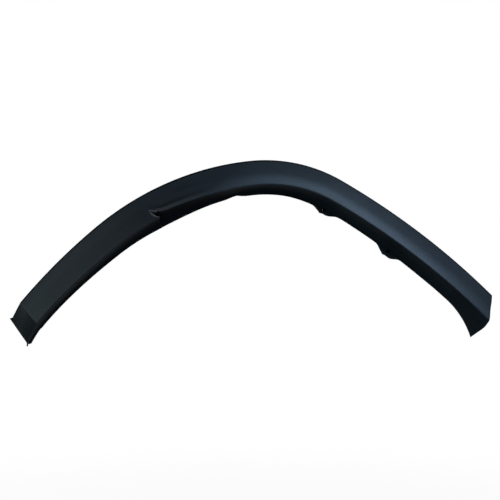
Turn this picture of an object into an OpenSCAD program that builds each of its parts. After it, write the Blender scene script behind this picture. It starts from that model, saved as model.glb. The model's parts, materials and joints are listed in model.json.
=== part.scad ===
// Wheel arch trim: a one-piece moulded shell that wraps over the edge of a wing.
// Places along the trim are lengths of its outer edge, from the crown's top, positive to the right.
// Places across the trim are widths measured inwards from that outer edge.
// X runs along the vehicle, Z points up, and the outside of the trim faces -Y.
// The origin is the seat of the screw in the upper ear, on the axis of its hole.

/* [Arch outline, seen from the side] */
// Radius of the outer edge over the crown
crown_r = 306; // [280:1:340]
// Turn of the crown arc left of its top, in degrees
crown_left_turn = 8.4; // [6:0.1:12]
// Turn of the crown arc right of its top, in degrees
crown_right_turn = 26.7; // [22:0.1:30]
// Radius of the outer edge round the left shoulder
shoulder_r = 537; // [480:1:620]
// Turn of the left shoulder, in degrees
shoulder_turn = 33; // [28:0.5:38]
// Radius of the outer edge down the left leg
left_leg_r = 1060; // [900:10:1400]
// Length of the left leg, from the shoulder to its fold
left_leg_len = 185; // [150:1:230]
// Length of the folded end past the fold
end_facet_len = 32; // [20:1:45]
// Radius of the outer edge down the right leg
right_leg_r = 1810; // [1400:10:2600]
// Length of the right leg, from the crown arc to its cut end
right_leg_len = 394; // [360:1:430]
// Radius of the body side, seen from above
plan_r = 2375; // [1800:25:4000]
// Distance from the crown's top to the foremost point of the body side
plan_apex = -42; // [-80:1:20]

/* [Section across the trim] */
// Thickness of the moulded wall
wall = 2.6; // [2:0.1:3.2]
// Height of the rim that seats on the wing
rim_h = 3.2; // [2.6:0.1:5]
// Width over which the face eases into the rim's corner
rim_blend_w = 25; // [15:1:35]
// Width of the face at the left end
face_w_left = 48; // [44:0.5:54]
// Width of the face at the left shoulder
face_w_shoulder = 52; // [48:0.5:58]
// Width of the face over the crown
face_w_crown = 49.5; // [46:0.5:56]
// Width of the face at the right end
face_w_right = 51; // [46:0.5:58]
// How far the crease stands proud of the wing
crease_h = 21; // [18:0.5:26]
// Rounding of the crease on the left leg
crease_r = 3.4; // [3:0.1:4.5]
// Rounding of the crease over the crown
crown_crease_r = 4; // [3:0.1:6]
// Rounding of the crease above the flare
right_crease_r = 2; // [1.5:0.1:4]
// Rounding of the wall behind the crease
inner_r = 7; // [6:0.5:9]
// Crowning of the face over the crown and the right leg
face_bulge = 3.6; // [1:0.1:5]

/* [Cut ends] */
// How far the crease has dropped at the left end's cut
end_drop = 11; // [6:0.5:12]
// How far the outer edge has drawn in at the left end's cut
end_draw_in = 7.3; // [2:0.1:8]
// How far the outer edge's tip juts out again at that cut
end_spur = 4; // [0:0.5:5]
// Length of that tip along the trim
end_spur_len = 5; // [3:0.5:8]
// How much wider the face has grown at the left end's cut
end_widening = 7; // [2:0.5:9]
// Slant of the left fold, across the width of the face
fold_slant = 11; // [0:1:14]
// Slant of the left end's cut, across the width of the face
left_cut_slant = 16; // [10:1:22]
// Rounding of the lip's corner at the left end's cut
end_corner_r = 6; // [4:0.5:10]
// Slant of the right end's cut, across the width of the face
right_cut_slant = 17; // [10:1:22]
// Length over which the sections lean into the right end's cut
right_slant_len = 210; // [150:5:250]
// How far the right end's cut is hollowed along the middle of the face
right_cut_hollow = 1.3; // [0:0.1:2]
// How far the flare juts out past that cut
right_cut_jut = 1.8; // [0:0.1:3]
// Length over which the cut's hollow and jut come in
right_cut_run = 60; // [40:5:90]

/* [Lip inside the arch] */
// Depth of the lip's free edge behind the crease
lip_depth = 35; // [30:0.5:42]
// Reach of the lip past the crease at the left end's cut
lip_reach_end = 5; // [4:0.5:7]
// Reach of the lip past the crease at the left fold
lip_reach_left = 9.3; // [8:0.1:12]
// Reach of the lip past the crease at the left shoulder
lip_reach_shoulder = 15.8; // [12:0.1:18]
// Reach of the lip past the crease over the crown
lip_reach_crown = 12.8; // [11:0.1:16]
// Reach of the lip past the crease above the flare
lip_reach_leg = 18.2; // [15:0.1:20]
// Place of the step where the crown's flange begins
flange_start = -76; // [-90:1:-55]
// Height of that step
flange_step = 3.3; // [2:0.1:5]
// Length over which the flange grows to its full width
flange_run = 26; // [16:1:30]

/* [Flare at the right end] */
// Length of the right leg that flares out
flare_len = 92; // [80:1:130]
// Reach of the flare past the crease at the right end
flare_reach = 34.5; // [24:0.5:38]
// Depth of the flare's free edge behind the crease
flare_depth = 60; // [48:1:66]
// Width of the band between the crease and the flare's fold
flare_band_w = 12; // [8:0.5:14]
// Depth of the flare's fold behind the crease
flare_band_depth = 11; // [8:0.5:18]

/* [Notch and bead on the left shoulder] */
// Place of the notch's apex
notch_at = -258; // [-275:1:-245]
// Length of the notch along the trim
notch_len = 11; // [8:0.5:14]
// Depth of the notch into the face, from the crease
notch_depth = 20.5; // [16:0.5:24]
// How far the notch's floor has dropped behind the face at its open end
notch_drop = 24.5; // [20:0.5:28]
// Rounding of the left leg's crease beside the notch
notch_crease_r = 1.4; // [1:0.1:2]
// Rounding of the bead's edge beside the notch
bead_r = 1.9; // [1.5:0.1:3]
// Step from the left leg's crease up to the bead's edge
bead_step = 7; // [4:0.5:9]
// Length over which the bead's edge swings down from the notch
bead_start_len = 33; // [26:1:40]
// Place where the bead has run out into the crown's crease
bead_end = -108; // [-130:1:-95]
// Depth of the hollow above the bead
hollow_depth = 2; // [0.5:0.1:2.5]
// Width of that hollow
hollow_w = 19; // [14:0.5:24]
// Distance from the bead's edge to the middle of that hollow
hollow_offset = 14; // [12:0.5:18]

/* [Fixing ears] */
// Place of the upper ear
ear_at = 137; // [120:1:150]
// Distance from the upper ear to the lower one
ear_pitch = 159; // [140:1:180]
// Length of an ear along the lip
ear_len = 66; // [56:1:72]
// Length of an ear's flat top
ear_top_len = 14; // [10:1:20]
// Distance from the screw hole to the middle of the ear
ear_offset = 1.5; // [0:0.5:4]
// How far the upper ear stands past its screw hole's middle
upper_ear_h = 9; // [7:0.5:11]
// How far the lower ear stands past its screw hole's middle
lower_ear_h = 10; // [7:0.5:12]
// How far the lip swells on the way to the upper ear
ear_swell = 2; // [0:0.1:3]
// Length over which the lip swells
ear_swell_len = 70; // [50:5:90]
// Thickness of an ear
ear_t = 4; // [3.6:0.1:5]
// Diameter of an ear's screw hole
ear_hole_d = 7; // [6:0.1:8]
// Diameter of the flat seat round that hole
ear_seat_d = 12; // [10:0.5:13]
// Diameter of the collar behind that hole
collar_d = 11; // [10:0.5:13]
// Length of that collar
collar_len = 17; // [8:0.5:20]

/* [Clip posts behind the face] */
// Place of the first clip post on the left leg
first_post_at = -500; // [-515:1:-480]
// Distance between clip posts
post_pitch = 120; // [100:1:140]
// Length of a clip post along the trim
post_len = 20; // [16:1:26]
// Width of a clip post across the trim
post_w = 14; // [10:1:18]
// Thickness of a clip post's ribs
post_rib = 2.4; // [1.8:0.1:3]
// Distance from the outer edge to a post's middle
post_inset = 29; // [27:0.5:32]
// Distance from a post's top to the wing
post_clearance = 1; // [0.5:0.1:2]

/* [Locating peg at the left end] */
// Diameter of the peg
peg_d = 2.6; // [2:0.2:4]
// How far the peg stands below the crease's corner
peg_len = 4.5; // [3:0.5:7]

/* [Hidden] */
$fn = 64;

// Lengths of the arcs, and the places where they end
deg = 180 / PI;
crown_left_len = crown_left_turn / deg * crown_r;
crown_right_len = crown_right_turn / deg * crown_r;
shoulder_len = shoulder_turn / deg * shoulder_r;
left_leg_end = -crown_left_len - shoulder_len;
fold_at = left_leg_end - left_leg_len;
left_end = fold_at - end_facet_len;
right_end = crown_right_len + right_leg_len;
flare_at = right_end - flare_len;
notch_end = notch_at + notch_len;
bead_full = notch_at + bead_start_len;

// Shapes of the curves: a larger number turns more sharply
LIP_CURVE = 2;
END_CURVE = 0.5;
BEAD_CURVE = 2.1;
FLANGE_CURVE = 2.2;
FLANGE_PULL = 1.2;
FLARE_CURVE = 1.9;
FLARE_PULL = 3;

// How far before the flare its fold starts to show, as a share of the flare's length
LEAD_SHARE = 0.75;

// Middle and half width of the right cut's hollow, as shares of the face's width
MIDDLE_SHARE = 0.58;
HALF_SHARE = 0.36;

// Where the lip's section turns: a share of its reach, and a height above its free edge
ELBOW_SHARE = 0.3;
ELBOW_H = 1;

// How far down the lip the crease's rounding aims
CREASE_AIM = 0.12;

// Share of the lip that the first sections right of the notch skip
NOTCH_SKIP = 0.36;

// Numbers of points across the trim, and the length of the face's last step beside the others
FACE_STEPS = 8;
FACE_LAST = 0.8;
LIP_STEPS = 9;
LEG_LIP_STEPS = 5;
EAR_STEPS = 6;

// Distances between sections: on the legs, over the crown, along the bead's start and in the notch
LEG_PITCH = 20;
CROWN_PITCH = 12;
BEAD_PITCH = 5;
NOTCH_PITCH = 2.6;

// Length left of the notch with closer sections
NOTCH_LEAD = 8;

// Length of the steep steps at the notch's open end and at the flange's start
STEP_RUN = 1;

// Smallest gap between neighbouring points of the notch
GAP = 0.7;

// Sharpest corner of a section that keeps its full wall
MITER_LIMIT = 0.75;

// How far a cut runs past what it cuts
CUT = 1;

function mix(a, b, t) = a + (b - a) * t;
function ramp(s, s0, s1) = min(1, max(0, (s - s0) / (s1 - s0)));
function ease(s, s0, s1) = let (t = ramp(s, s0, s1)) t * t * (3 - 2 * t);
function hump(t) = abs(t) < 1 ? pow(1 - t * t, 2) : 0;
function unit(v) = v / norm(v);

// The outer edge in the side view: [x, z, direction in degrees]
function arc_step(p, len, r) =
    let (turn = len / r * deg,
         chord = 2 * r * sin(turn / 2),
         heading = p[2] - turn / 2)
    [p[0] + chord * cos(heading), p[1] + chord * sin(heading), p[2] - turn];

function edge_at(s) =
    s >= 0
    ? let (crown = min(s, crown_right_len))
      arc_step(arc_step([0, 0, 0], crown, crown_r), s - crown, right_leg_r)
    : let (crown = max(s, -crown_left_len),
           shoulder = max(s - crown, -shoulder_len))
      arc_step(arc_step(arc_step([0, 0, 0], crown, crown_r), shoulder, shoulder_r),
               s - crown - shoulder, left_leg_r);

// How far the body side curves back at x
function plan_at(x) = pow(x - plan_apex, 2) / (2 * plan_r);

// A point at place s, width n and depth y, before the origin is moved to the upper ear
function arch_point(s, n, y) =
    let (e = edge_at(s), x = e[0] + n * sin(e[2]))
    [x, y + plan_at(x), e[1] - n * cos(e[2])];

// How much of the left end's fold has come at place s
function end_fold(s) = 1 - ramp(s, left_end, fold_at);

// Slant of the section at place s, as a length for each unit of width
function slant_at(s) =
    s < fold_at ? -mix(fold_slant, left_cut_slant, end_fold(s)) / face_w_left
    : s < 0 ? -fold_slant / face_w_left * (1 - ease(s, fold_at, left_leg_end))
    : right_cut_slant / face_w_right * ease(s, right_end - right_slant_len, right_end);

// Sizes that change along the trim
function face_w_at(s) =
    mix(face_w_left, face_w_shoulder, ease(s, fold_at, left_leg_end))
    + end_widening * end_fold(s)
    + (face_w_crown - face_w_shoulder) * ease(s, bead_full, flange_start)
    + (face_w_right - face_w_crown) * ease(s, ear_at, right_end);

function crease_h_at(s) = crease_h - end_drop * end_fold(s);
function draw_in_at(s) =
    end_draw_in * end_fold(s) - end_spur * (1 - ramp(s, left_end, left_end + end_spur_len));

function bulge_at(s) = face_bulge * ease(s, notch_end, flange_start);

function leg_rounding_at(s) =
    mix(crease_r, notch_crease_r, ease(s, notch_at - notch_depth, notch_end));

function crown_rounding_at(s) =
    mix(mix(bead_r, crown_crease_r, ease(s, notch_end, bead_end)),
        right_crease_r, ease(s, ear_at, flare_at));

// Distance from the left leg's crease line out to the bead's edge
function bead_offset_at(s) =
    bead_step * (1 - ramp(s, bead_full, bead_end))
    + (notch_depth - bead_step) * pow(1 - ramp(s, notch_at, bead_full), BEAD_CURVE);

function bead_edge_at(s) = face_w_at(s) - bead_offset_at(s);

// The flare grows slowly at first and quickly at the right end
function flare_growth_at(s) = pow(ramp(s, flare_at, right_end), FLARE_CURVE);

// How far the lip swells on the way to the upper ear. It falls back along the ear's other flank.
function swell_at(s) =
    let (start = ear_at - (ear_len - ear_top_len) / 2,
         top_end = ear_at + ear_top_len)
    ear_swell * ramp(s, start - ear_swell_len, start) * (1 - ease(s, top_end, top_end + ear_len / 2));

// Reach of the lip past the crease, without that swelling
function lip_reach_at(s) =
    mix(lip_reach_left, lip_reach_end, pow(end_fold(s), END_CURVE))
    + (lip_reach_shoulder - lip_reach_left) * pow(ramp(s, fold_at, notch_at), LIP_CURVE)
    + (lip_reach_crown - lip_reach_shoulder) * ease(s, bead_full, flange_start)
    + (lip_reach_leg - lip_reach_crown) * ramp(s, ear_at + ear_len / 2, flare_at)
    + (flare_reach - lip_reach_leg) * flare_growth_at(s)
    - flange_step * ease(s, bead_end, flange_start)
      * pow(1 - ramp(s, flange_start, flange_start + flange_run), FLANGE_CURVE);

function lip_depth_at(s) =
    lip_depth - end_drop * end_fold(s) + (flare_depth - lip_depth) * flare_growth_at(s);

// Width of the screw holes' line, and width and depth of the lip's free edge
function ear_line(s) = face_w_at(s) + lip_reach_at(s);
function lip_edge(s) = ear_line(s) + swell_at(s);
function lip_edge_y(s) = lip_depth_at(s) - crease_h;

// Depth of the face at width n
function face_y(s, n) =
    let (t = n / face_w_at(s),
         slope = crease_h_at(s) * t + 4 * bulge_at(s) * t * (1 - t),
         fade = ease(s, notch_at, bead_full) * (1 - ease(s, bead_full, bead_end)),
         middle = bead_edge_at(s) - hollow_offset)
    hollow_depth * fade * hump((n - middle) / (hollow_w / 2)) - slope;

// A face point at width n, eased into the rim's front corner
function face_point(s, n) =
    let (inset = draw_in_at(s) * (1 - n / face_w_at(s)),
         lift = rim_h * pow(1 - ramp(n, 0, rim_blend_w), 2))
    [n + inset, face_y(s, n) - lift];

// A curve from a to b round a corner: a larger pull draws it closer to the corner
function bend(a, corner, b, t, pull = 1) =
    let (u = 1 - t, total = u * u + 2 * pull * t * u + t * t)
    (u * u * a + 2 * pull * t * u * corner + t * t * b) / total;

// Points of the lip from the crease to its free edge. Its fold shows before the flare starts.
function lip_point(s, from, t) =
    let (edge = [lip_edge(s), lip_edge_y(s)],
         flare = ease(s, flare_at - LEAD_SHARE * flare_len, right_end),
         flange = ease(s, flange_start, flange_start + flange_run / 2),
         elbow = [mix(mix(from[0], edge[0], ELBOW_SHARE), from[0] + flare_band_w, flare),
                  mix(edge[1] - ELBOW_H, from[1] + flare_band_depth, flare)])
    bend(from, elbow, edge, t, 1 + flange * FLANGE_PULL + flare * FLARE_PULL);

function crease_points(s, width, r) =
    let (corner = face_point(s, width),
         from = face_point(s, width - r),
         down = lip_point(s, corner, CREASE_AIM),
         to = corner + unit(down - corner) * r)
    [for (t = [0, 0.5, 1]) bend(from, corner, to, t)];

function face_points(s, edge) =
    [for (i = [1:FACE_STEPS]) face_point(s, edge * i / (FACE_STEPS + FACE_LAST))];

// Sections left of the notch: the crease is the left leg's own
function leg_section(s, r, notch_edge, notch_floor) =
    let (edge = bead_edge_at(s),
         width = face_w_at(s),
         crease = crease_points(s, width, r),
         last = min(notch_edge, width - r - GAP),
         floor_n = max(edge + GAP, last - GAP))
    concat(face_points(s, edge),
           [face_point(s, edge - GAP),
            face_point(s, edge),
            face_point(s, floor_n) + [0, notch_floor],
            face_point(s, max(last, floor_n + GAP))],
           crease,
           [for (i = [1:LEG_LIP_STEPS]) lip_point(s, crease[2], i / LEG_LIP_STEPS)]);

// Sections right of the notch: the crease runs along the bead and then the crown
function crown_section(s, r) =
    let (edge = bead_edge_at(s),
         crease = crease_points(s, edge, r),
         first = NOTCH_SKIP * (1 - ease(s, notch_end, bead_full)))
    concat(face_points(s, edge),
           [crease[0], crease[1]],
           [for (i = [0:LIP_STEPS]) lip_point(s, crease[2], mix(first, 1, i / LIP_STEPS))]);

// The rim that seats on the wing
function rim_points(s) = [[draw_in_at(s), 0], [draw_in_at(s), -rim_h]];

// The skin's outer side at place s
function outer_section(s) =
    let (t = ramp(s, notch_at, notch_end))
    concat(rim_points(s),
           s < notch_end
           ? leg_section(s, leg_rounding_at(s), mix(bead_edge_at(s) + 2 * GAP, face_w_at(s), t),
                         t * notch_drop)
           : crown_section(s, crown_rounding_at(s)));

// The same section with a rounder crease and no notch, for the skin's inner side
function backing_section(s) =
    concat(rim_points(s),
           s < notch_at - wall
           ? leg_section(s, inner_r, bead_edge_at(s) + 2 * GAP, 0)
           : crown_section(s, inner_r));

// Points moved square to the section by the wall's thickness
function inset_points(p, t) =
    let (last = len(p) - 1,
         steps = [for (i = [1:last]) unit(p[i] - p[i - 1])])
    [for (i = [0:last])
        let (before = steps[max(0, i - 1)],
             after = steps[min(last - 1, i)],
             along = unit(before + after))
        p[i] + [-along[1], along[0]] * t / max(MITER_LIMIT, along * after)];

// How far the lip's corner is rounded off at the left end's cut
function corner_at(s, n) = end_corner_r * end_fold(s) * pow(ramp(n, face_w_at(s), lip_edge(s)), 2);

// How far the right end's cut departs from a straight one at width n
function cut_at(s, n) =
    let (w = face_w_at(s))
    ease(s, right_end - right_cut_run, right_end)
    * (right_cut_jut * ease(n, w * MIDDLE_SHARE, w * (1 + HALF_SHARE))
       - right_cut_hollow * hump((n / w - MIDDLE_SHARE) / HALF_SHARE));

function place_section(s, points) =
    [for (p = points)
        arch_point(s + slant_at(s) * p[0] + corner_at(s, p[0]) + cut_at(s, p[0]), p[0], p[1])];

// Places of the sections, closer together where the shape changes faster
function places(from, to, pitch) =
    let (n = max(1, round((to - from) / pitch)))
    [for (i = [0:n - 1]) mix(from, to, i / n)];

section_places = concat(
    places(left_end, left_end + end_spur_len, LEG_PITCH),
    places(left_end + end_spur_len, fold_at, CROWN_PITCH),
    places(fold_at, notch_at - NOTCH_LEAD, LEG_PITCH),
    places(notch_at - NOTCH_LEAD, notch_at, NOTCH_PITCH),
    places(notch_at, notch_end - STEP_RUN, NOTCH_PITCH),
    [notch_end - STEP_RUN],
    places(notch_end, bead_full, BEAD_PITCH),
    places(bead_full, bead_end, CROWN_PITCH),
    places(bead_end, flange_start - STEP_RUN, CROWN_PITCH),
    [flange_start - STEP_RUN],
    places(flange_start, flange_start + flange_run, BEAD_PITCH),
    places(flange_start + flange_run, crown_right_len, CROWN_PITCH),
    places(crown_right_len, flare_at, LEG_PITCH),
    places(flare_at, right_end, CROWN_PITCH),
    [right_end]);

// Faces between the points at(row, column) of a grid
function quad(a, b, c, d) = [[a, b, c], [a, c, d]];

function grid_faces(rows, cols, at) =
    [for (i = [0:rows - 2], j = [0:cols - 2])
        each quad(at(i, j), at(i + 1, j), at(i + 1, j + 1), at(i, j + 1))];

// Faces between two matching rows of points
function strip_faces(count, a, b) =
    [for (i = [0:count - 2]) each quad(a(i), b(i), b(i + 1), a(i + 1))];

// Faces of a closed skin from matching outer and inner grids
function skin_faces(rows, cols) =
    let (outer = function (i, j) i * cols + j,
         inner = function (i, j) (rows + i) * cols + j)
    concat(
        grid_faces(rows, cols, outer),
        grid_faces(cols, rows, function (j, i) inner(i, j)),
        strip_faces(rows, function (i) outer(i, 0), function (i) inner(i, 0)),
        strip_faces(rows, function (i) inner(i, cols - 1), function (i) outer(i, cols - 1)),
        strip_faces(cols, function (j) inner(0, j), function (j) outer(0, j)),
        strip_faces(cols, function (j) outer(rows - 1, j), function (j) inner(rows - 1, j)));

module skin() {
    outer = [for (s = section_places) place_section(s, outer_section(s))];
    inner = [for (s = section_places) place_section(s, inset_points(backing_section(s), wall))];
    polyhedron(points = [for (row = concat(outer, inner), p = row) p],
               faces = skin_faces(len(section_places), len(outer[0])),
               convexity = 8);
}

// Sets its children at place s, width n and depth y, with +Y pointing back into the vehicle
module at_place(s, n, y) {
    translate(arch_point(s, n, y)) rotate([0, -edge_at(s)[2], 0]) children();
}

// Slope of the body side along the trim and across it, as angles
function plan_tilt(s, n) =
    let (slope = (arch_point(s, n, 0)[0] - plan_apex) / plan_r, direction = edge_at(s)[2])
    [atan(slope * sin(direction)), 0, atan(slope * cos(direction))];

// Depth of the screw's seat on an ear, in the middle of the lip's free edge
ear_face = lip_edge_y(ear_at) - (ear_t - wall) / 2;

module ear_plate(h) {
    side = (ear_len - ear_top_len) / 2;
    rise = [for (i = [0:EAR_STEPS]) [side * i / EAR_STEPS, -h * ease(i, 0, EAR_STEPS)]];
    outline = concat(
        [[-ear_len / 2, wall]],
        [for (p = rise) [-ear_len / 2 + p[0], p[1]]],
        [for (i = [EAR_STEPS:-1:0]) [ear_len / 2 - rise[i][0], rise[i][1]]],
        [[ear_len / 2, wall]]);
    translate([ear_offset, ear_t, 0]) rotate([90, 0, 0]) linear_extrude(ear_t) polygon(outline);
}

// The plate follows the body side, and stands proud of the seat that is cut square to the screw
module ear(s, h) {
    tilt = plan_tilt(s, ear_line(s));
    proud = ear_seat_d / 2 * tan(norm(tilt));
    at_place(s, ear_line(s), ear_face) {
        translate([0, -proud, 0]) rotate(tilt) ear_plate(h);
        rotate([-90, 0, 0]) cylinder(h = ear_t + collar_len, d = collar_d);
    }
}

// The screw's hole, and the room in front of its seat
module ear_hole(s) {
    at_place(s, ear_line(s), ear_face) {
        rotate([90, 0, 0]) cylinder(h = ear_t, d = ear_seat_d);
        translate([0, -CUT, 0]) rotate([-90, 0, 0])
            cylinder(h = ear_t + collar_len + 2 * CUT, d = ear_hole_d);
    }
}

// A rib from the back of the face to just clear of the wing, with its foot on the face's slope
module rib(s, x, len, w) {
    top = -post_clearance;
    foot = [for (n = [-w / 2, w / 2]) face_y(s, post_inset + n) + wall / 2];
    translate([x, 0, 0]) rotate([90, 0, 90]) linear_extrude(len)
        polygon([[foot[0], w / 2], [top, w / 2], [top, -w / 2], [foot[1], -w / 2]]);
}

// A clip post: a blade that takes a push-on clip, with a cross rib at each end
module clip_post(s) {
    at_place(s, post_inset, 0) rotate(plan_tilt(s, post_inset)) {
        rib(s, -post_len / 2, post_len, post_rib);
        for (x = [-post_len / 2, post_len / 2 - post_rib]) rib(s, x, post_rib, post_w);
    }
}

// The posts keep clear of the notch and end before the flare is half grown
module clip_posts() {
    clear = bead_start_len + post_len;
    for (s = [first_post_at:post_pitch:right_end - flare_len / 2])
        if (abs(s - notch_at) > clear) clip_post(s);
}

module peg() {
    n = face_w_at(left_end);
    s = left_end + slant_at(left_end) * n;
    translate(arch_point(s, n, face_y(left_end, n) + wall) - [0, 0, peg_len])
        cylinder(h = peg_len + 2 * wall, d = peg_d);
}

module arch_trim() {
    color("#26282a")
    translate(-arch_point(ear_at, ear_line(ear_at), ear_face))
    difference() {
        union() {
            skin();
            ear(ear_at, upper_ear_h);
            ear(ear_at + ear_pitch, lower_ear_h);
            clip_posts();
            peg();
        }
        ear_hole(ear_at);
        ear_hole(ear_at + ear_pitch);
    }
}

arch_trim();
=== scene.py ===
"""Looks of a wheel arch trim: one black moulding that wraps over the edge of a wing.

The skin is a fine grid, bent over the same outline and section as the solid that carries it. The screw
collars, the clip posts and the locating peg are joined to it, as they are in the mould.

Sizes are in millimetres. A place s is a length along the outer edge from the crown's top, positive to the
right. A width n is measured inwards from that edge, and a depth y backwards from the wing's surface.
"""

import json
import logging
import math
from dataclasses import dataclass, field
from enum import Enum
from typing import Iterable, Sequence

import bmesh
import bpy
from mathutils import Matrix, Vector

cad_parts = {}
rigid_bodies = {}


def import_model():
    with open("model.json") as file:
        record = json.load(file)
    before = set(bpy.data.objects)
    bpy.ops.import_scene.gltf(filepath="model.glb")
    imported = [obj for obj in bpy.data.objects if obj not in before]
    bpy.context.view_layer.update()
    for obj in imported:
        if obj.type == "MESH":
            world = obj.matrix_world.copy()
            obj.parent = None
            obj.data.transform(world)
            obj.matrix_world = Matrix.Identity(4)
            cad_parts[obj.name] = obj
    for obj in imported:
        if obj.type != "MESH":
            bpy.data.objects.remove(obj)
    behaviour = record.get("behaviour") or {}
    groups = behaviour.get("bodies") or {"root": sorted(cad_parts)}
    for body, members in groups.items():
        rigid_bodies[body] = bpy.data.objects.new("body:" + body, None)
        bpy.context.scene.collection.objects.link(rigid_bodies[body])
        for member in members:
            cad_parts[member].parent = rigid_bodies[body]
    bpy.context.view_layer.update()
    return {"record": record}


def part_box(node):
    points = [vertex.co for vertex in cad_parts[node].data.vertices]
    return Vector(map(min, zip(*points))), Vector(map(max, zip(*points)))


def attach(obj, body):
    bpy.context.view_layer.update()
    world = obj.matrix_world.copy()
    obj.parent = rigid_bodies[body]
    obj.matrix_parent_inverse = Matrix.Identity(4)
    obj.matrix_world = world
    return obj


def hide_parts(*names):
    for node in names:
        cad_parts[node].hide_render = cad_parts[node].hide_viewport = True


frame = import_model()

log = logging.getLogger("arch_trim")

MM = 0.001
NODE = "arch_trim"
BODY = "root"
# Name of the vertex attribute that carries painted highlights on the notch's edges, the left fold and the
# bead's crest.
HIGHLIGHT_ATTRIBUTE = "rubbed"
BEVEL_STEPS = 2
WHITE = (1.0, 1.0, 1.0, 1.0)

Point = tuple[float, float]
Colour = tuple[float, float, float]


def mix(a: float, b: float, t: float) -> float:
    """Returns the value a share t of the way from a to b."""
    return a + (b - a) * t


def ramp(s: float, start: float, end: float) -> float:
    """Returns 0 before start, 1 after end, and a straight rise between them."""
    return min(1.0, max(0.0, (s - start) / (end - start)))


def ease(s: float, start: float, end: float) -> float:
    """Returns 0 before start, 1 after end, and a smooth rise between them."""
    t = ramp(s, start, end)
    return t * t * (3.0 - 2.0 * t)


def hump(t: float) -> float:
    """Returns a smooth hump, 1 at zero and 0 from 1 on either side."""
    return (1.0 - t * t) ** 2 if abs(t) < 1.0 else 0.0


def between(a: Point, b: Point, t: float) -> Point:
    """Returns the point a share t of the way from a to b."""
    return (mix(a[0], b[0], t), mix(a[1], b[1], t))


def toward(a: Point, b: Point, length: float) -> Point:
    """Returns the point at a length from a on the way to b, and no further than b."""
    return between(a, b, min(1.0, length / max(math.dist(a, b), 1e-9)))


def bend(a: Point, corner: Point, b: Point, t: float, pull: float = 1.0) -> Point:
    """Gives a point of a curve from a to b round a corner.

    Args:
        a: Start of the curve.
        corner: Corner that the curve rounds.
        b: End of the curve.
        t: Share of the way along it.
        pull: A larger number draws the curve closer to the corner.

    Returns:
        The point.
    """
    u = 1.0 - t
    weights = (u * u, 2.0 * pull * t * u, t * t)
    total = sum(weights)
    return tuple(sum(w * p[i] for w, p in zip(weights, (a, corner, b))) / total for i in (0, 1))


def places(start: float, end: float, pitch: float) -> list[float]:
    """Returns even places from start up to, and without, end, about a pitch apart."""
    count = max(1, round((end - start) / pitch))
    return [mix(start, end, i / count) for i in range(count)]


def round_edges(bm: bmesh.types.BMesh, edges: Sequence[bmesh.types.BMEdge], radius: float) -> None:
    """Rounds edges of a mesh.

    Args:
        bm: Mesh that is changed.
        edges: Edges that are rounded.
        radius: How far the rounding reaches from each edge.
    """
    bmesh.ops.bevel(
        bm, geom=edges, offset=radius, offset_type="OFFSET", segments=BEVEL_STEPS, profile=0.5,
        affect="EDGES", clamp_overlap=True, material=-1,
    )


def add_object(name: str, data: bpy.types.ID) -> bpy.types.Object:
    """Adds an object to the scene.

    Args:
        name: Name of the object.
        data: Its mesh, lamp or camera.

    Returns:
        The object.
    """
    obj = bpy.data.objects.new(name, data)
    bpy.context.scene.collection.objects.link(obj)
    return obj


def add_mesh(
    name: str, bm: bmesh.types.BMesh, finishes: Iterable[bpy.types.Material],
) -> bpy.types.Object:
    """Turns a mesh into an object in the scene, and frees it.

    Args:
        name: Name of the mesh and of the object.
        bm: Mesh in metres.
        finishes: Materials, in the order of their slots.

    Returns:
        The object.
    """
    mesh = bpy.data.meshes.new(name)
    bm.to_mesh(mesh)
    bm.free()
    for finish in finishes:
        mesh.materials.append(finish)
    return add_object(name, mesh)


@dataclass(frozen=True)
class EdgePoint:
    """A point of the outer edge in the side view, and the edge's direction there in radians."""

    x: float
    z: float
    direction: float

    def along_arc(self, length: float, radius: float) -> "EdgePoint":
        """Gives a point further along an arc that turns clockwise.

        Args:
            length: How far along the arc.
            radius: Radius of the arc.

        Returns:
            The point, with the edge's direction there.
        """
        turn = length / radius
        chord = 2.0 * radius * math.sin(turn / 2.0)
        heading = self.direction - turn / 2.0
        return EdgePoint(
            self.x + chord * math.cos(heading),
            self.z + chord * math.sin(heading),
            self.direction - turn,
        )


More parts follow.
